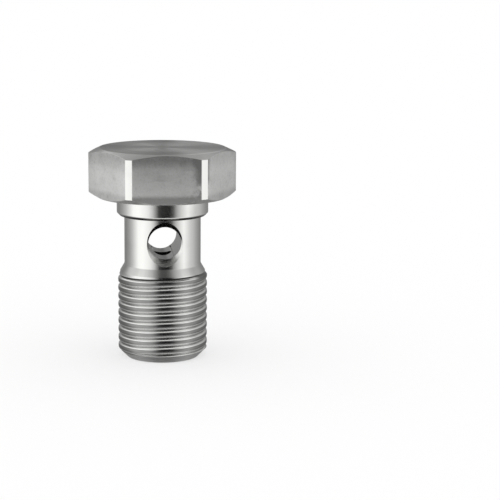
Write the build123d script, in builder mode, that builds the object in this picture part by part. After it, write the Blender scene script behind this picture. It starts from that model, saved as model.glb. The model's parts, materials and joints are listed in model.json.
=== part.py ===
"""Banjo bolt: a hollow hexagon-headed bolt with one cross hole, for a 1/8 inch parallel pipe thread.

Millimetres, +Z up along the bolt's axis. The origin is the centre of the flat tip face, the cross
hole runs along Y, and one flat of the hexagon faces -Y.
"""
from build123d import *
from math import radians, sqrt, tan
import os

# Thread: 55 degree rounded form of a 1/8 inch pipe thread, at the middle of its size limits.
# The solid is the body that the thread is rolled on, out to the crests.
thread_diameter = 9.6
thread_pitch = 0.907
thread_angle = 55
rounded_share = 1 / 3

thread_radius = thread_diameter / 2
sharp_depth = thread_pitch / 2 / tan(radians(thread_angle / 2))
thread_depth = sharp_depth * (1 - rounded_share)
root_radius = thread_radius - thread_depth

# Shank, with every length measured down from the seat under the head
shank_length = 17.42
collar_length = 2.02
collar_step = 0.1
collar_chamfer = 0.33
neck_relief = 0.12
neck_end = 7.23
land_step = 0.23
land_length = 0.29
flare_angle = 30
tip_chamfer = 0.95

collar_radius = thread_radius + collar_step
neck_radius = root_radius - neck_relief
land_radius = thread_radius - land_step
tip_radius = thread_radius - tip_chamfer
seat_z = shank_length
collar_z = seat_z - collar_length
neck_end_z = seat_z - neck_end
flare_height = (land_radius - neck_radius) / tan(radians(flare_angle))
land_top_z = neck_end_z - flare_height
land_z = land_top_z - land_length
thread_end_z = land_z - land_step

# Hexagon head: corners turned off, and both faces chamfered
across_flats = 14.0
head_height = 5.25
corner_cut = 0.213
top_rim_inset = 0.3
top_chamfer_angle = 25
seat_rim_inset = 0.1
seat_chamfer_angle = 30

flat_radius = across_flats / 2
corner_radius = across_flats / sqrt(3) - corner_cut
top_rim_radius = flat_radius - top_rim_inset
seat_rim_radius = flat_radius - seat_rim_inset
top_z = seat_z + head_height
top_corner_z = top_z - (corner_radius - top_rim_radius) * tan(radians(top_chamfer_angle))
seat_corner_z = seat_z + (corner_radius - seat_rim_radius) * tan(radians(seat_chamfer_angle))

# Fluid way: one cross hole through the neck, fed by a bore from the tip. The hole's countersinks
# sit a little lower than the hole itself, so they are cut as cones of their own.
cross_hole_diameter = 3.48
cross_hole_drop = 4.56
cross_sink_diameter = 4.66
cross_sink_offset = 0.19
cross_sink_point = 1.6
feed_bore_diameter = 1.9
feed_bore_sink = 0.12
sink_angle = 90

cross_hole_radius = cross_hole_diameter / 2
cross_hole_z = seat_z - cross_hole_drop
cross_sink_z = cross_hole_z - cross_sink_offset
cross_sink_radius = cross_sink_diameter / 2
cross_point_radius = cross_sink_point / 2
cross_sink_depth = (cross_sink_radius - cross_point_radius) / tan(radians(sink_angle / 2))
feed_bore_radius = feed_bore_diameter / 2

os.makedirs("parts", exist_ok=True)

with BuildPart() as banjo_bolt:
    # Head: hexagon bar, cut back to the turned outline of its corners and chamfers
    with BuildSketch(Plane.XY.offset(seat_z)):
        RegularPolygon(radius=flat_radius, side_count=6, major_radius=False)
    extrude(amount=head_height)
    with BuildSketch(Plane.XZ):
        with BuildLine():
            Polyline(
                (0, seat_z),
                (seat_rim_radius, seat_z),
                (corner_radius, seat_corner_z),
                (corner_radius, top_corner_z),
                (top_rim_radius, top_z),
                (0, top_z),
                close=True,
            )
        make_face()
    revolve(axis=Axis.Z, mode=Mode.INTERSECT)

    # Shank: tip, thread body, land, flare, neck and collar, turned in one profile
    with BuildSketch(Plane.XZ):
        with BuildLine():
            Polyline(
                (0, 0),
                (tip_radius, 0),
                (thread_radius, tip_chamfer),
                (thread_radius, thread_end_z),
                (land_radius, land_z),
                (land_radius, land_top_z),
                (neck_radius, neck_end_z),
                (neck_radius, collar_z),
                (collar_radius - collar_chamfer, collar_z),
                (collar_radius, collar_z + collar_chamfer),
                (collar_radius, seat_z),
                (0, seat_z),
                close=True,
            )
        make_face()
    revolve(axis=Axis.Z)

    # Cross hole: drilled right through the neck, and countersunk from both sides
    with Locations(Plane(origin=(0, -neck_radius, cross_hole_z), z_dir=(0, -1, 0))):
        Hole(radius=cross_hole_radius, depth=2 * neck_radius)
    for side in (-1, 1):
        with Locations(Plane(origin=(0, side * neck_radius, cross_sink_z), z_dir=(0, -side, 0))):
            Cone(
                bottom_radius=cross_sink_radius,
                top_radius=cross_point_radius,
                height=cross_sink_depth,
                align=(Align.CENTER, Align.CENTER, Align.MIN),
                mode=Mode.SUBTRACT,
            )

    # Feed bore: drilled from the tip, and stopping inside the cross hole
    with Locations(Plane(origin=(0, 0, 0), z_dir=(0, 0, -1))):
        CounterSinkHole(
            radius=feed_bore_radius,
            counter_sink_radius=feed_bore_radius + feed_bore_sink,
            depth=cross_hole_z,
            counter_sink_angle=sink_angle,
        )

banjo_bolt.part.label = "banjo_bolt"
export_step(banjo_bolt.part, "parts/banjo_bolt.step")
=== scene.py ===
# %% [markdown]
# # A banjo bolt in turned stainless steel
#
# A banjo bolt holds a ring-shaped hose fitting, the banjo, against a housing, and lets the fluid
# through its own middle: in by the cross hole, down the bore, and out of the tip. The real one is
# turned from a hexagon bar, drilled twice, and its thread is rolled on. This lesson makes it in the
# same order: turn, mill, roll, join, drill, and then give each cut surface its own finish.

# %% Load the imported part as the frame
import json
from math import atan2, cos, degrees, hypot, pi, radians, sin, sqrt, tan

import bmesh
import bpy
from mathutils import Matrix, Quaternion, Vector

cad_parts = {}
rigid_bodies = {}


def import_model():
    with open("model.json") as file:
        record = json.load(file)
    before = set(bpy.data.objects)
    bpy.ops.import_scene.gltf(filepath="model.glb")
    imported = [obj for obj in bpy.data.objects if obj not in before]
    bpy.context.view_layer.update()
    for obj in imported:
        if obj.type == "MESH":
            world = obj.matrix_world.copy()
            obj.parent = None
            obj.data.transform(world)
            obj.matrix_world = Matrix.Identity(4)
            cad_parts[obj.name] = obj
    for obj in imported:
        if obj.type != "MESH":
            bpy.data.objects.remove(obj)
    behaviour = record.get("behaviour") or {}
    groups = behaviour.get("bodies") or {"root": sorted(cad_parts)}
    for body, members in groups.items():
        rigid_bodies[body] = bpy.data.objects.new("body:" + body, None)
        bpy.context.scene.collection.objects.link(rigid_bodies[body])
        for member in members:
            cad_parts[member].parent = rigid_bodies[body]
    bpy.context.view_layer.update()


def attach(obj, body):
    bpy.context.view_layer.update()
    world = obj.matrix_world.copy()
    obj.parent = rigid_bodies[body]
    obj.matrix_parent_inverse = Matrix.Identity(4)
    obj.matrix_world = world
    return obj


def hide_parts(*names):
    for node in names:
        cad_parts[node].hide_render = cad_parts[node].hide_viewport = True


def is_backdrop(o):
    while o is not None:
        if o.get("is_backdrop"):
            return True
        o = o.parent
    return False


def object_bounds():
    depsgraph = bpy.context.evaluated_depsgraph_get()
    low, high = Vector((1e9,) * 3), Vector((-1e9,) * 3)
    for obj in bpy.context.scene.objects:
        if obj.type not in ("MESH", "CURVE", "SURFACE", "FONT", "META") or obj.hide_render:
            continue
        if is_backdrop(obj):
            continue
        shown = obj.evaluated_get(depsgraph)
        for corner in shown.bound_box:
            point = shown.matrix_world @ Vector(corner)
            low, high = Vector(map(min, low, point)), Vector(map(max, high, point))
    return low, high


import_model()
mm = 0.001

# %% [markdown]
# ## Camera
#
# The photograph is taken from close by, a little above the bolt and a little to its left, so the
# cross hole points slightly to the right. The bolt leans in it by half a degree; here it stands
# straight and the camera is rolled instead. The camera could be shifted to put the bolt in the left
# third of the picture, but it is aimed past the bolt, so that the other views, which keep its lens,
# have the bolt in their middle.

# %% Find where the photographer stood
picture_width = 500
pixels_per_metre = 9265
camera_distance = 180 * mm
camera_azimuth = radians(-3.8)
camera_elevation = radians(10.45)
camera_roll = radians(0.45)
aim_point = Vector((0, 0, 11 * mm))
aim_pixel = (162.6, 254.6)

towards_camera = Vector((
    sin(camera_azimuth) * cos(camera_elevation),
    -cos(camera_azimuth) * cos(camera_elevation),
    sin(camera_elevation),
))
camera_place = aim_point + towards_camera * camera_distance
print("camera in mm:", [round(side / mm, 1) for side in camera_place])

# %% Aim the camera so that the bolt falls on its own pixel
camera_right = Vector((cos(camera_azimuth), sin(camera_azimuth), 0))
camera_up = towards_camera.cross(camera_right)
middle = picture_width / 2
picture_centre = (
    aim_point
    + camera_right * (middle - aim_pixel[0]) / pixels_per_metre
    + camera_up * (aim_pixel[1] - middle) / pixels_per_metre
)
looking = (picture_centre - camera_place).to_track_quat("-Z", "Y")
roll = Quaternion((0, 0, 1), camera_roll)

sensor_width = 36
camera_data = bpy.data.cameras.new("studio_camera")
camera_data.sensor_width = sensor_width
camera_data.lens = pixels_per_metre * camera_distance * sensor_width / picture_width
camera_data.clip_start = 10 * mm
camera_data.clip_end = 20
camera = bpy.data.objects.new("studio_camera", camera_data)
bpy.context.scene.collection.objects.link(camera)
camera.location = camera_place
camera.rotation_euler = (looking @ roll).to_euler()
bpy.context.scene.camera = camera
print("lens in mm:", round(camera_data.lens, 1))

# %% [markdown]
# ## Sizes
#
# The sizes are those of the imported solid, which is a 1/8 inch pipe thread under a 14 mm hexagon.
# Heights are measured up from the tip, and radii out from the axis. The bolt is drawn in millimetres
# and shrunk to metres when it is whole, because mesh tools take points closer than about a
# thousandth of a unit for one and the same.

# %% Name the sizes
tip_radius, thread_radius, land_radius, neck_radius = 3.85, 4.8, 4.57, 4.0992
land_top, neck_foot = 9.3745, 10.19
collar_radius, collar_foot, collar_chamfer = 4.9, 15.4, 0.33
seat, head_top = 17.42, 22.67
flat_radius, corner_radius = 7, 7.87
top_rim, seat_rim = 6.7, 6.9
top_chamfer_angle, seat_chamfer_angle = 25, 30
top_corner = head_top - (corner_radius - top_rim) * tan(radians(top_chamfer_angle))
seat_corner = seat + (corner_radius - seat_rim) * tan(radians(seat_chamfer_angle))
print("head corners run from", round(seat_corner, 2), "to", round(top_corner, 2), "mm")

# %% Say how fine the round is, and what counts as touching
steps_round = 144
cut_within = 1e-6
merge_within = 1e-4
nearly = 1e-3
print("one step round the thread is", round(2 * pi * thread_radius / steps_round, 2), "mm long")

# %% [markdown]
# ## Turning
#
# Everything round on the bolt comes from a lathe. Here a wire of a few points stands for half of
# the section, its corners are rounded as a real tool leaves them, and a full spin about the axis
# makes the surface. A point on the axis closes the shape there once its copies are merged.

# %% Helpers that draw a section and spin it
def section(points):
    """A new bmesh with a wire through these (radius, height) points, and its vertices."""
    bm = bmesh.new()
    corners = [bm.verts.new((radius, 0, height)) for radius, height in points]
    for one, following in zip(corners, corners[1:]):
        bm.edges.new((one, following))
    return bm, corners


def round_corners(bm, corners, reach, segments=3):
    """Round corners of a wire, starting this far from each of them."""
    bmesh.ops.bevel(
        bm, geom=corners, offset=reach, offset_type="OFFSET", segments=segments,
        profile=0.5, affect="VERTICES", material=-1,
    )


def turn(bm, climb=0.0):
    """Spin the wire once round the axis, rising by climb, and merge what meets."""
    bmesh.ops.spin(
        bm, geom=bm.verts[:] + bm.edges[:], cent=(0, 0, 0), axis=(0, 0, 1),
        dvec=(0, 0, climb / steps_round), angle=2 * pi, steps=steps_round, use_merge=climb == 0,
    )
    bmesh.ops.remove_doubles(bm, verts=bm.verts, dist=merge_within)
    bmesh.ops.recalc_face_normals(bm, faces=bm.faces)


# %% Turn the head, the collar, the neck and the flare in one go
body, corners = section([
    (0, head_top),
    (top_rim, head_top),
    (corner_radius, top_corner),
    (corner_radius, seat_corner),
    (seat_rim, seat),
    (collar_radius, seat),
    (collar_radius, collar_foot + collar_chamfer),
    (collar_radius - collar_chamfer, collar_foot),
    (neck_radius, collar_foot),
    (neck_radius, neck_foot),
    (land_radius, land_top),
])
top_rim_round, seat_rim_round = 0.07, 0.03
collar_round, under_collar_round, neck_foot_round = 0.06, 0.05, 0.12
round_corners(body, corners[1:2], top_rim_round)
round_corners(body, corners[4:5], seat_rim_round)
round_corners(body, corners[6:8], collar_round)
round_corners(body, corners[8:9], under_collar_round)
round_corners(body, corners[9:10], neck_foot_round)
turn(body)
print("turned body:", len(body.faces), "faces")

# %% [markdown]
# ## The hexagon
#
# The head starts as a round with its corners and chamfers already turned, and six flats are cut
# from it. Cutting with a plane gives the curved line between each flat and the chamfer by itself,
# just as the mill does. A tumbled part has no sharp edge left, so each flat's outline is bevelled,
# less at the seat, where there is little room.

# %% Cut the six flats
for side in range(6):
    outwards = Matrix.Rotation(radians(60 * side + 30), 3, "Z") @ Vector((1, 0, 0))
    cut = bmesh.ops.bisect_plane(
        body, geom=body.verts[:] + body.edges[:] + body.faces[:], dist=cut_within,
        plane_co=outwards * flat_radius, plane_no=outwards, clear_outer=True,
    )
    outline = [item for item in cut["geom_cut"] if isinstance(item, bmesh.types.BMEdge)]
    bmesh.ops.edgeloop_fill(body, edges=outline)
bmesh.ops.recalc_face_normals(body, faces=body.faces)
least_flat_area = 20
flats = [face for face in body.faces if face.calc_area() > least_flat_area]
print("flats cut:", len(flats))

# %% Mark how much each edge of the head is to be eased
edge_ease = 0.15
seat_share = 0.35
ease = body.edges.layers.float.new("bevel_weight_edge")
for edge in body.edges:
    low, high = sorted(vertex.co.z for vertex in edge.verts)
    on_flat = sum(face in flats for face in edge.link_faces) == 1
    across = {round(hypot(vertex.co.x, vertex.co.y), 2) for vertex in edge.verts}
    on_corner = across == {corner_radius} and high - low < merge_within
    if on_flat or on_corner:
        edge[ease] = seat_share if high < seat_corner + nearly else 1
print("edges to ease:", sum(edge[ease] > 0 for edge in body.edges))

# %% [markdown]
# ## The rolled thread
#
# The thread is a right-hand helix with flanks at 55 degrees to each other. It is rolled between dies
# that press narrow grooves into the blank, so the crests stay broad, dull and slightly crowned, and
# only their shoulders, which the metal flows over, are rounded and bright. One spin of the whole
# zigzag does it: the spin climbs exactly one pitch in a full turn, so the end of each groove meets
# the start of the next and the copies merge. A few turns too many are drawn below the tip and cut
# off there. Near the top the crests and the last groove die away into the plain land, which is the
# size of the blank.

# %% Draw the zigzag of crests and grooves
pitch = 0.907
first_crest = 1.61
crest_half, crest_crown = 0.275, 0.035
shoulder_radius = thread_radius - crest_crown
root_radius = 4.43
turns = range(-3, 11)
zigzag = []
for number in turns:
    crest_height = first_crest + number * pitch
    zigzag.append((shoulder_radius, crest_height - crest_half))
    zigzag.append((thread_radius, crest_height))
    zigzag.append((shoulder_radius, crest_height + crest_half))
    zigzag.append((root_radius, crest_height + pitch / 2))
half_groove = pitch / 2 - crest_half
flank_angle = degrees(atan2(half_groove, shoulder_radius - root_radius))
print("flanks stand at", round(flank_angle, 1), "degrees")

# %% Round the zigzag and spin it into a thread
crest_round, root_round = 0.1, 0.05
upper_shoulder_round, lower_shoulder_round = 0.08, 0.13
thread, corners = section(zigzag)
round_corners(thread, corners[1::4], crest_round)
round_corners(thread, corners[2::4], upper_shoulder_round, segments=4)
round_corners(thread, corners[4::4], lower_shoulder_round, segments=5)
round_corners(thread, corners[3:-1:4], root_round, segments=4)
turn(thread, climb=pitch)
print("spun thread:", len(thread.faces), "faces")


# %% Let the crests and the last groove die away
def die_away(height, start, end):
    """1 below start, 0 above end, and smooth between."""
    share = min(max((height - start) / (end - start), 0), 1)
    return 1 - share * share * (3 - 2 * share)


crests_fade = (8.9, 9.2)
grooves_fade = (9.16, 9.28)
for vertex in thread.verts:
    radius = hypot(vertex.co.x, vertex.co.y)
    proud = radius - land_radius
    fade = crests_fade if proud > 0 else grooves_fade
    stretch = (land_radius + proud * die_away(vertex.co.z, *fade)) / radius
    vertex.co.x *= stretch
    vertex.co.y *= stretch
print("crests end at", crests_fade[1], "mm, grooves at", grooves_fade[1], "mm")

# %% Trim the thread at the tip and at the land
land_cut = 9.3
for height, away in ((0, -1), (land_cut, 1)):
    bmesh.ops.bisect_plane(
        thread, geom=thread.verts[:] + thread.edges[:] + thread.faces[:], dist=merge_within,
        plane_co=(0, 0, height), plane_no=(0, 0, away), clear_outer=True,
    )
bmesh.ops.remove_doubles(thread, verts=thread.verts, dist=nearly)
print("trimmed thread:", len(thread.faces), "faces")

# %% [markdown]
# ## One piece of steel
#
# The bolt is one piece, so its mesh is one closed skin. The thread's top ring and the land's edge
# are bridged, and the tip is filled. Each face also gets the number of its finish here, while it is
# still easy to tell the faces apart.

# %% Name the finishes and mark which face has which
finish_names = ("turned_bright", "turned_face", "milled_flat", "rolled_thread", "drilled_wall")
finishes = [bpy.data.materials.new(name) for name in finish_names]
bright, faced, milled, rolled, drilled = range(len(finish_names))
upright = 0.1
for face in body.faces:
    on_head = face.calc_center_median().z > seat - nearly
    on_band = on_head and abs(face.normal.z) < upright
    face.material_index = faced if on_head and not on_band else bright
for face in flats:
    face.material_index = milled
for face in thread.faces:
    face.material_index = rolled
print("finishes:", finish_names)

# %% Join the turned body and the thread
carrier = bpy.data.meshes.new("carrier")
thread.to_mesh(carrier)
thread.free()
body.from_mesh(carrier)
bpy.data.meshes.remove(carrier)

open_edges = [edge for edge in body.edges if edge.is_boundary]
tip_ring = [edge for edge in open_edges if edge.verts[0].co.z < nearly]
land_rings = [edge for edge in open_edges if edge.verts[0].co.z > nearly]
bridge = bmesh.ops.bridge_loops(body, edges=land_rings)
for face in bridge["faces"]:
    face.material_index = bright
tip = bmesh.ops.edgeloop_fill(body, edges=tip_ring)
for face in tip["faces"]:
    face.material_index = faced
bmesh.ops.recalc_face_normals(body, faces=body.faces)
print("open edges left:", sum(edge.is_boundary for edge in body.edges))


# %% [markdown]
# ## Drilling and chamfering
#
# The cuts are made with tools, as on the lathe: a ring with a 45 degree face for the tip, a drill and
# a countersink for the cross hole, and a drill for the bore. The countersink sits a hair low on the
# hole, as it does on the real bolt. Each tool is turned as a small closed mesh, and a Boolean
# modifier takes it away from the bolt. A Boolean goes wrong where edges of the two fall on each
# other, so the ring is turned by half a step first. The faces that a tool leaves keep its finish.

# %% Helpers that make a tool and hand a mesh over to an object
def turned_tool(points):
    """A closed bmesh, turned from these (radius, height) points."""
    tool = section(points)[0]
    turn(tool)
    return tool


def lay_across(tool, height):
    """Turn a tool's axis from Z to Y and lift it to this height."""
    lie_down = Matrix.Rotation(radians(90), 3, "X")
    bmesh.ops.rotate(tool, verts=tool.verts, matrix=lie_down)
    bmesh.ops.translate(tool, verts=tool.verts, vec=(0, 0, height))


def as_object(bm, name, finish=None):
    """Hand a bmesh over to a new object at the origin, with all the finishes in its slots."""
    if finish is not None:
        for face in bm.faces:
            face.material_index = finish
    mesh = bpy.data.meshes.new(name)
    bm.to_mesh(mesh)
    bm.free()
    for material in finishes:
        mesh.materials.append(material)
    made = bpy.data.objects.new(name, mesh)
    bpy.context.scene.collection.objects.link(made)
    return made


# %% Make the ring that chamfers the tip
clear = 2
overlap = 0.2
chamfer_ring = turned_tool([
    (tip_radius - overlap, -overlap),
    (tip_radius + clear, -overlap),
    (tip_radius + clear, clear),
    (tip_radius - overlap, -overlap),
])
half_step = Matrix.Rotation(pi / steps_round, 3, "Z")
bmesh.ops.rotate(chamfer_ring, verts=chamfer_ring.verts, matrix=half_step)
print("chamfer ring:", len(chamfer_ring.faces), "faces")

# %% Make the drill and the countersink of the cross hole
hole_radius, hole_height = 1.74, 12.86
cross_drill = turned_tool([
    (0, -neck_radius - clear),
    (hole_radius, -neck_radius - clear),
    (hole_radius, neck_radius + clear),
    (0, neck_radius + clear),
])
lay_across(cross_drill, hole_height)

sink_radius, sink_height = 2.36, 12.78
stem = 0.8
cone_reach = neck_radius - sink_radius + stem
countersink = turned_tool([
    (0, -neck_radius - clear),
    (sink_radius, -neck_radius - clear),
    (sink_radius, -neck_radius),
    (stem, -cone_reach),
    (stem, cone_reach),
    (sink_radius, neck_radius),
    (sink_radius, neck_radius + clear),
    (0, neck_radius + clear),
])
lay_across(countersink, sink_height)
print("the countersink sits", round(hole_height - sink_height, 2), "mm low")

# %% Make the drill of the feed bore
bore_radius, bore_sink = 0.95, 0.12
feed_drill = turned_tool([
    (0, -clear),
    (bore_radius + bore_sink + clear, -clear),
    (bore_radius, bore_sink),
    (bore_radius, hole_height),
    (0, hole_height),
])
tools = [
    as_object(chamfer_ring, "chamfer_ring", faced),
    as_object(cross_drill, "cross_drill", drilled),
    as_object(countersink, "countersink", drilled),
    as_object(feed_drill, "feed_drill", drilled),
]
print("tools:", [tool.name for tool in tools])

# %% Ease the edges, make the cuts, and keep the result as one mesh
blank = as_object(body, "banjo_bolt_blank")
easing = blank.modifiers.new("eased edges", "BEVEL")
easing.limit_method = "WEIGHT"
easing.width = edge_ease
easing.segments = 3
easing.profile = 0.5
for tool in tools:
    cut = blank.modifiers.new(tool.name, "BOOLEAN")
    cut.operation = "DIFFERENCE"
    cut.solver = "EXACT"
    cut.object = tool
bpy.context.view_layer.update()
graph = bpy.context.evaluated_depsgraph_get()
bolt_mesh = bpy.data.meshes.new_from_object(blank.evaluated_get(graph))
bolt_mesh.name = "banjo_bolt_steel"
for spent in [blank, *tools]:
    bpy.data.objects.remove(spent)
bolt = bpy.data.objects.new("banjo_bolt_steel", bolt_mesh)
bpy.context.scene.collection.objects.link(bolt)
triangles = sum(len(polygon.vertices) - 2 for polygon in bolt_mesh.polygons)
print("bolt:", len(bolt_mesh.polygons), "faces,", triangles, "triangles")

# %% [markdown]
# ## Smooth shading that follows the tools
#
# A mirror shows every slip of the shading. Plain smooth shading gives a long wall and the tiny
# rounding beside it an equal say in the corner that they share, and the whole wall looks tilted.
# Here each face has a say by its area, so the walls stay straight and the roundings do the turning.
# Where a drill breaks through the neck, the cut also leaves corners in the middle of narrow faces.
# So on every turned surface the shading is turned too: its lean stays, and its compass direction
# is taken straight from the axis of the tool. The flats are kept dead flat.

# %% Let each face weigh by its area
smooth_up_to = cos(radians(32))
bolt_mesh.polygons.foreach_set("use_smooth", [True] * len(bolt_mesh.polygons))
meeting = [[] for vertex in bolt_mesh.vertices]
for polygon in bolt_mesh.polygons:
    for vertex in polygon.vertices:
        meeting[vertex].append((polygon.normal.copy(), polygon.area))
shading = [None] * len(bolt_mesh.loops)
for polygon in bolt_mesh.polygons:
    for loop, vertex in zip(polygon.loop_indices, polygon.vertices):
        near = [
            normal * area
            for normal, area in meeting[vertex]
            if normal.dot(polygon.normal) > smooth_up_to
        ]
        shading[loop] = sum(near, Vector()).normalized()
print("corners shaded:", len(shading))


# %% Turn the shading about the right axis
least_sink_slope = 0.3
least_across = 0.02


def tool_axis(polygon):
    """The axis that a turned or drilled face was cut about, and a point on it."""
    spindle = Vector((0, 0, 1))
    from_spindle = (polygon.center - spindle * polygon.center.z).length
    if polygon.material_index != drilled or from_spindle <= bore_radius + bore_sink + nearly:
        return spindle, Vector()
    on_sink = abs(polygon.normal.y) > least_sink_slope
    return Vector((0, 1, 0)), Vector((0, 0, sink_height if on_sink else hole_height))


for polygon in bolt_mesh.polygons:
    if polygon.material_index in (milled, rolled):
        continue
    axis, centre = tool_axis(polygon)
    for loop in polygon.loop_indices:
        place = bolt_mesh.vertices[bolt_mesh.loops[loop].vertex_index].co - centre
        outwards = place - axis * place.dot(axis)
        lean = shading[loop].dot(axis)
        across = sqrt(max(0, 1 - lean * lean))
        if outwards.length < nearly or across < least_across:
            continue
        outwards.normalize()
        if outwards.dot(polygon.normal) < 0:
            outwards.negate()
        shading[loop] = outwards * across + axis * lean
for polygon in bolt_mesh.polygons:
    if polygon.material_index == milled and polygon.area > least_flat_area:
        for loop in polygon.loop_indices:
            shading[loop] = polygon.normal
bolt_mesh.normals_split_custom_set(shading)
bolt_mesh.transform(Matrix.Scale(mm, 4))
print("shading set on", len(shading), "corners")


# %% [markdown]
# ## Writing finishes as sums
#
# A finish is a small sum: so much scratch, times so much wear, plus a little unevenness. The first
# class below wraps a node's output so that such a sum can be written with plus and times, and the
# second has one method that adds any other node.

# %% A short way to write node trees
class Output:
    """The output of a node. Plus, minus and times on it add Math nodes."""

    def __init__(self, tree, socket):
        self.tree = tree
        self.socket = socket

    def __add__(self, other):
        return self.tree.math("ADD", self, other)

    def __sub__(self, other):
        return self.tree.math("SUBTRACT", self, other)

    def __rsub__(self, other):
        return self.tree.math("SUBTRACT", other, self)

    def __mul__(self, other):
        return self.tree.math("MULTIPLY", self, other)

    __radd__ = __add__
    __rmul__ = __mul__

    def between(self, low, high):
        """0 below low, 1 above high, smooth in the middle."""
        settings = {"interpolation_type": "SMOOTHSTEP", "clamp": True}
        return self.tree.node("ShaderNodeMapRange", settings, {0: self, 1: low, 2: high})


class Tree:
    """The node tree of a material or a world, emptied and ready to fill."""

    def __init__(self, owner):
        owner.use_nodes = True
        self.nodes = owner.node_tree.nodes
        self.links = owner.node_tree.links
        self.nodes.clear()

    def node(self, kind, settings=None, inputs=None, output=0):
        """Add a node: its settings first, then values or links for its sockets."""
        made = self.nodes.new(kind)
        for name, value in (settings or {}).items():
            if name == "stops":
                ramp = made.color_ramp.elements
                while len(ramp) < len(value):
                    ramp.new(1)
                for element, (position, colour) in zip(ramp, value):
                    element.position, element.color = position, colour
            else:
                setattr(made, name, value)
        for name, value in (inputs or {}).items():
            if isinstance(value, Output):
                self.links.new(value.socket, made.inputs[name])
            else:
                made.inputs[name].default_value = value
        return Output(self, made.outputs[output] if made.outputs else None)

    def math(self, operation, *values):
        """Any Math node."""
        return self.node("ShaderNodeMath", {"operation": operation}, dict(enumerate(values)))

    def parts(self, vector):
        """The x, y and z of a vector."""
        split = self.node("ShaderNodeSeparateXYZ", None, {0: vector}).socket.node
        return [Output(self, socket) for socket in split.outputs]

    def mixed(self, share, one, other):
        """One colour, turning into the other as share goes from 0 to 1."""
        # A Mix node has its own sockets for each kind of value, and these are those for colours
        return self.node("ShaderNodeMix", {"data_type": "RGBA"}, {0: share, 6: one, 7: other}, 2)


def towards(share, one, other):
    """One number, turning into the other as share goes from 0 to 1."""
    return one + share * (other - one)


print("helpers ready")

# %% [markdown]
# ## The finishes
#
# All five finishes are the same stainless steel and differ only in what the tool left on it. The
# steel mirrors its surroundings, so its own colour is a plain grey and most of what the eye reads as
# finish is roughness: fine rings from turning, a duller drag from milling, the burnish of the
# rolling dies, and the matt wall of a drilled hole. A darker grey is mixed in for uneven tone, grime
# and the dull skin of the crests, and in many places also as painted shade.

# %% Name the greys
plain_steel = (0.62, 0.622, 0.605, 1)
pale_steel = (0.8, 0.802, 0.79, 1)
milled_steel = (0.82, 0.825, 0.812, 1)
# From here on, the darker greys serve both for stains and for painted shade.
haze_and_shade_steel = (0.5, 0.505, 0.49, 1)
grime_and_shade_steel = (0.38, 0.382, 0.375, 1)
dark_steel = (0.17, 0.172, 0.167, 1)
haze_and_lip_shade_steel = (0.07, 0.07, 0.068, 1)
haze_and_collar_shade_steel = (0.06, 0.06, 0.058, 1)
micron = 0.001 * mm
print("palest and darkest grey:", milled_steel[0], haze_and_collar_shade_steel[0])


# %% One steel, finished in different ways
def start(name):
    """The tree of a finish, with the place on the bolt, its three parts and its radius, in mm."""
    tree = Tree(bpy.data.materials[name])
    place = tree.node("ShaderNodeTexCoord", output="Object")
    place = tree.node("ShaderNodeVectorMath", {"operation": "SCALE"}, {0: place, 3: 1 / mm})
    x, y, z = tree.parts(place)
    return tree, place, x, y, z, tree.math("SQRT", x * x + y * y)


def steel(name, tree, clean, shade_and_grime_grey, stain_and_shade, roughness, height, depth, anisotropy):
    """Finish a material with stains and painted shade, a roughness and a relief, all made of nodes.
    """
    colour = tree.mixed(stain_and_shade, clean, shade_and_grime_grey)
    relief = tree.node("ShaderNodeBump", None, {"Strength": 1.0, "Distance": depth, "Height": height})
    surface = tree.node("ShaderNodeBsdfPrincipled", None, {
        "Base Color": colour,
        "Metallic": 1.0,
        "Roughness": roughness,
        "Anisotropic": anisotropy,
        "Anisotropic Rotation": 0.25,
        "Normal": relief,
    })
    tree.node("ShaderNodeOutputMaterial", None, {"Surface": surface})
    print(name, "has", len(tree.nodes), "nodes")


def rings(tree, along, fineness):
    """Rings from a lathe tool: noise that changes along the section and not round it."""
    values = {"W": along * fineness, "Scale": 1.0, "Detail": 3.0}
    return tree.node("ShaderNodeTexNoise", {"noise_dimensions": "1D"}, values)


def cloud(tree, place, size, detail=2.0):
    """Soft noise with blotches of about this many millimetres."""
    values = {"Vector": place, "Scale": 1 / size, "Detail": detail}
    return tree.node("ShaderNodeTexNoise", None, values)


# %% [markdown]
# ### The shank, turned bright
#
# The collar, the neck and the land are turned with a fine feed, which leaves almost a mirror. The
# underside of the collar and its lower chamfer are painted near black, as painted shade.

# %% Finish the collar, the neck and the land
tree, place, x, y, z, radius = start("turned_bright")
lines = rings(tree, radius + z, fineness=9.0)
haze = cloud(tree, place, size=3.0)
above_edge = z.between(collar_foot - 0.05, collar_foot)
below_rounding = 1 - z.between(collar_foot + 0.2, collar_foot + 0.33)
# The collar's underside and lower chamfer are painted near black: painted shade. The haze is random
# tone.
stain_and_shade = haze.between(0.5, 0.8) * 0.1 + above_edge * below_rounding
roughness = 0.13 + 0.08 * (lines - 0.5) + 0.06 * (haze - 0.5)
steel("turned_bright", tree, plain_steel, haze_and_collar_shade_steel, stain_and_shade, roughness, lines, 0.4 * micron, 0.6)

# %% [markdown]
# ### The faces, turned coarser
#
# The top of the head, its chamfers, the seat and the tip are faced with a coarser feed. The rings
# run round the axis, so the light on them spreads across the rings and shows as the two fans of any
# turned disc. The fans are also painted into the colour: the outer part of the top, the chamfers
# and the seat, and the very middle, are darker as painted shade, and a patch right of the middle on
# the top is lighter as a painted highlight.

# %% Finish the top, the chamfers, the seat and the tip
tree, place, x, y, z, radius = start("turned_face")
lines = rings(tree, radius + z, fineness=7.0)
haze = cloud(tree, place, size=2.5)
on_top = z.between(head_top - 0.1, head_top - 0.03)
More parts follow.
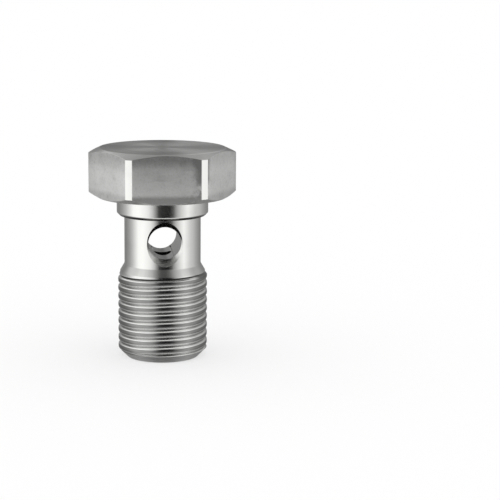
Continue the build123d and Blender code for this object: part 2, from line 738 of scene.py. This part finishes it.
# Painted light: a lighter patch right of the middle on the top is a painted highlight, and the darker
# outer part and middle are painted shade.
painted_highlight_patch = x.between(0.5, 2.5) * on_top
rim = radius.between(3.2, 5.4) * 0.6 * (1 - painted_highlight_patch)
core = (1 - radius.between(0.3, 2.0)) * 0.6
stain_and_shade = haze.between(0.4, 0.8) * 0.3 + rim + core
roughness = 0.32 + 0.1 * (lines - 0.5) + 0.1 * (haze - 0.5)
steel("turned_face", tree, pale_steel, haze_and_shade_steel, stain_and_shade, roughness, lines, 0.8 * micron, 0.85)

# %% [markdown]
# ### The flats, milled
#
# A milled flat is never quite flat: the cutter drags along it and leaves it the least bit crowned,
# so it shades softly from top to bottom although it mirrors one plain wall. Here the crown is part
# of the relief, and falls by about a tenth of a millimetre towards the edges. The colour holds
# painted shade: a darker band at the top and one at the seat, both strongest in front, and a darker
# upper half on the left. The dark corner on the right of the front flat is blotchy grime and painted
# shade together, stronger towards the top.

# %% Shape the relief of the flats
tree, place, x, y, z, radius = start("milled_flat")
drag_squash = (1.0, 1.0, 12.0)
stretched = tree.node("ShaderNodeMapping", None, {"Vector": place, "Scale": drag_squash})
drag = cloud(tree, stretched, size=1.6, detail=4.0)
crown_height = seat + 2.3
up = z - crown_height
out = radius * radius - flat_radius * flat_radius
bow_upright, bow_sideways = 11, 0.35
crown = up * up * bow_upright + out * out * bow_sideways
print("the crown is highest", round(crown_height - seat, 2), "mm above the seat")

# %% Lay the grime and the painted shade on the flats
haze = cloud(tree, place, size=1.4)
blotch = cloud(tree, place, size=0.8, detail=5.0)
speckle = cloud(tree, place, size=0.22, detail=3.0)
forwards = 0 - y
front = forwards.between(flat_radius - 0.2, flat_radius - 0.05)
# Painted shade: darker at the top, at the seat and on the upper left.
top_band = z.between(head_top - 1.9, head_top - 0.5) * (front * 0.4 + 0.3)
seat_band = (1 - z.between(seat + 0.6, seat + 1.2)) * (front * 0.6 + 0.35)
upper_left = (0 - x).between(4.1, 4.3) * z.between(seat + 2.8, seat + 4) * 0.25
front_corner = x.between(2.4, 3.5) * forwards.between(6, 6.8)
# The front corner is blotchy grime and painted shade together.
grime_and_shade_corner = front_corner * (blotch + z.between(18.5, 22) * 0.5).between(0.45, 0.75)
uneven = haze.between(0.4, 0.75) * 0.16 + blotch.between(0.5, 0.8) * 0.2
uneven = uneven + speckle.between(0.45, 0.75) * 0.2
stain_and_shade = uneven + top_band + upper_left + seat_band + grime_and_shade_corner
roughness = 0.4 + 0.12 * (drag - 0.5) + 0.15 * (haze - 0.5)
steel("milled_flat", tree, milled_steel, grime_and_shade_steel, stain_and_shade, roughness, drag - crown, micron, 0.3)

# %% [markdown]
# ### The thread, rolled
#
# The dies burnish the shoulders and the flanks. The broad crests keep the dull skin of the blank.
# The grooves are darker as painted shade, and the colour is darker still along the first groove
# under the land and in a patch on the right where it runs out. The zones are told apart by their
# radius, so they follow the helix by themselves.

# %% Finish the thread
tree, place, x, y, z, radius = start("rolled_thread")
haze = cloud(tree, place, size=1.0, detail=4.0)
grit = cloud(tree, place, size=0.15)
crest = radius.between(shoulder_radius + 0.001, shoulder_radius + 0.01)
# The grooves are painted darker: painted shade.
groove = (1 - radius.between(root_radius + 0.08, root_radius + 0.24)) * 0.55
below_land = 1 - radius.between(land_radius - 0.06, land_radius - 0.01)
first_groove = z.between(8.6, 8.9) * below_land
run_out = z.between(8.82, 8.94) * x.between(3.0, 3.9)
stain_and_shade = crest + groove + first_groove + run_out - haze * 0.12
roughness = 0.13 + 0.1 * crest + 0.06 * (haze - 0.5) + 0.06 * (grit - 0.5)
steel("rolled_thread", tree, pale_steel, dark_steel, stain_and_shade, roughness, grit, 0.8 * micron, 0.4)

# %% [markdown]
# ### The holes, drilled
#
# A drill tears more than it cuts, so its walls are duller than the turned ones and mirror nothing
# sharply. The upper half of the countersink is painted near black, as a painted dark reflection.

# %% Finish the walls of the holes
tree, place, x, y, z, radius = start("drilled_wall")
haze = cloud(tree, place, size=0.5, detail=4.0)
above_hole = z - hole_height
off_axis = tree.math("SQRT", x * x + above_hole * above_hole)
upper_half = above_hole.between(0.2, 0.7)
# The upper half of the countersink is painted near black: a painted dark reflection.
painted_lip_shade = off_axis.between(hole_radius + 0.01, hole_radius + 0.05) * upper_half
stain_and_shade = haze.between(0.3, 0.8) * 0.12 + painted_lip_shade
roughness = 0.2 + 0.1 * (haze - 0.5)
steel("drilled_wall", tree, plain_steel, haze_and_lip_shade_steel, stain_and_shade, roughness, haze, 0.6 * micron, 0.0)

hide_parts("banjo_bolt")
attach(bolt, "root")

# %% [markdown]
# ## The studio
#
# Polished steel is a picture of the room around it. The photographer used a white tent with a tall
# soft light on either side, left a dark gap for the camera, and had a dimmer wall behind. Overhead
# the tent is brighter at the sides than in the middle, and the table is bright in front and falls
# off towards the back. The world below draws that room for the steel's reflections only, and isn't
# sampled as a lamp, because the steel finds the room by itself. Everything else is lit evenly, and
# the camera sees a plain white ground.
#
# The levels of the walls are listed by their angle from the camera, which is positive on the
# picture's right. Straight behind the bolt one panel ends and the next begins, so the two ends of
# the ramp needn't agree.

# %% Draw the walls of the room as levels round the compass
world = bpy.data.worlds.new("studio_tent")
bpy.context.scene.world = world
world.cycles.sampling_method = "NONE"
tree = Tree(world)
x, y, z = tree.parts(tree.node("ShaderNodeTexCoord", output="Generated"))

brightest = 1.7
level_at_angle = [
    (-142, 0.31), (-120, 0.5), (-104, 0.76), (-90, 1.16), (-78, 1.54), (-62, 1.6),
    (-46, 1.43), (-36, 1.27), (-27, 0.93), (-18, 0.45), (-10, 0.06), (0, 0.02),
    (18, 0.02), (27, 0.12), (37, 0.58), (47, 0.92), (57, 1.23), (67, 1.46),
    (79, 1.21), (91, 0.95), (105, 0.78), (121, 0.55), (144, 0.34), (180, 0.2),
]
stops = []
for angle, level in level_at_angle:
    position = ((angle + degrees(camera_azimuth)) / 360 + 0.5) % 1
    shade = level / brightest
    stops.append((position, (shade, shade, shade, 1)))
stops.sort()
turned = tree.math("ARCTAN2", x, 0 - y) * (1 / (2 * pi)) + 0.5
walls = tree.node("ShaderNodeValToRGB", {"stops": stops}, {0: turned})
print("the walls have", len(stops), "levels")

# %% Draw the ceiling and the table
aside = tree.math("ABSOLUTE", x)
ceiling_front = aside.between(0.05, 0.8) * 0.7 + 0.12
right_dimmer = x.between(0.1, 0.3) * 0.42
ceiling_back = aside.between(0.08, 0.32) * (0.8 - right_dimmer) + 0.14
ceiling_back = towards(z.between(0.6, 0.85), ceiling_back, 0.62)
to_back = y.between(-0.3, 0.3)
ceiling = towards(to_back, ceiling_front, ceiling_back)
ceiling = towards(z.between(0.88, 0.99), ceiling, 0.3)

downwards = 0 - z
table = 1.45 - y.between(-0.5, 0.4) * 1.2
table = towards(downwards.between(0.72, 0.97), table, 0.08)

ceiling_share = z.between(0.3 - to_back * 0.08, 0.85 - to_back * 0.35)
room = tree.mixed(ceiling_share, walls, ceiling * (1 / brightest))
room = tree.mixed(downwards.between(0.24, 0.5), room, table * (1 / brightest))
print("the room has", len(tree.nodes), "nodes")

# %% Show the room to the steel, and a plain white ground to the camera
white = (1, 1, 1, 1)
even_level = 1.05
seen_in_steel = tree.node("ShaderNodeBackground", None, {0: room, 1: brightest})
even_light = tree.node("ShaderNodeBackground", None, {0: white, 1: even_level})
white_ground = tree.node("ShaderNodeBackground", None, {0: white, 1: 1.0})
is_camera = tree.node("ShaderNodeLightPath", output="Is Camera Ray")
is_glossy = tree.node("ShaderNodeLightPath", output="Is Glossy Ray")
lit = tree.node("ShaderNodeMixShader", None, {0: is_glossy, 1: even_light, 2: seen_in_steel})
lit = tree.node("ShaderNodeMixShader", None, {0: is_camera, 1: lit, 2: white_ground})
tree.node("ShaderNodeOutputWorld", None, {"Surface": lit})
print("the world has", len(tree.nodes), "nodes")

# %% [markdown]
# ## The floor
#
# The bolt stands on white paper that keeps a faint shadow. Half of what the camera sees of it is its
# own glow, so it stays white with no more light on the bolt, and from below it is seen through.

# %% Lay the floor
floor_radius = 3
floor_gap = 0.005 * mm
floor_bm = bmesh.new()
bmesh.ops.create_circle(floor_bm, cap_ends=True, segments=64, radius=floor_radius)
bmesh.ops.translate(floor_bm, verts=floor_bm.verts, vec=(0, 0, -floor_gap))
floor_mesh = bpy.data.meshes.new("floor")
floor_bm.to_mesh(floor_mesh)
floor_bm.free()
floor = bpy.data.objects.new("floor", floor_mesh)
bpy.context.scene.collection.objects.link(floor)
floor.visible_glossy = False
floor_mesh.materials.append(bpy.data.materials.new("pale_floor"))
floor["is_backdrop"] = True
print("floor laid,", floor_radius, "m in radius")

# %% Make it of paper
tree = Tree(floor_mesh.materials[0])
matt = tree.node("ShaderNodeBsdfDiffuse", None, {0: (0.95, 0.95, 0.95, 1)})
glow = tree.node("ShaderNodeEmission", None, {0: white, 1: 1.0})
is_camera = tree.node("ShaderNodeLightPath", output="Is Camera Ray")
paper = tree.node("ShaderNodeMixShader", None, {0: is_camera * 0.5, 1: matt, 2: glow})
underside = tree.node("ShaderNodeNewGeometry", output="Backfacing")
seen_through = tree.node("ShaderNodeBsdfTransparent")
paper = tree.node("ShaderNodeMixShader", None, {0: underside, 1: paper, 2: seen_through})
tree.node("ShaderNodeOutputMaterial", None, {"Surface": paper})
print("the paper has", len(tree.nodes), "nodes")

# %% Show colours as they are, print the visual box, and finish
bpy.context.scene.view_settings.view_transform = "Standard"
low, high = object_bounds()
print("visual box in mm:", [round(side / mm, 3) for side in high - low])
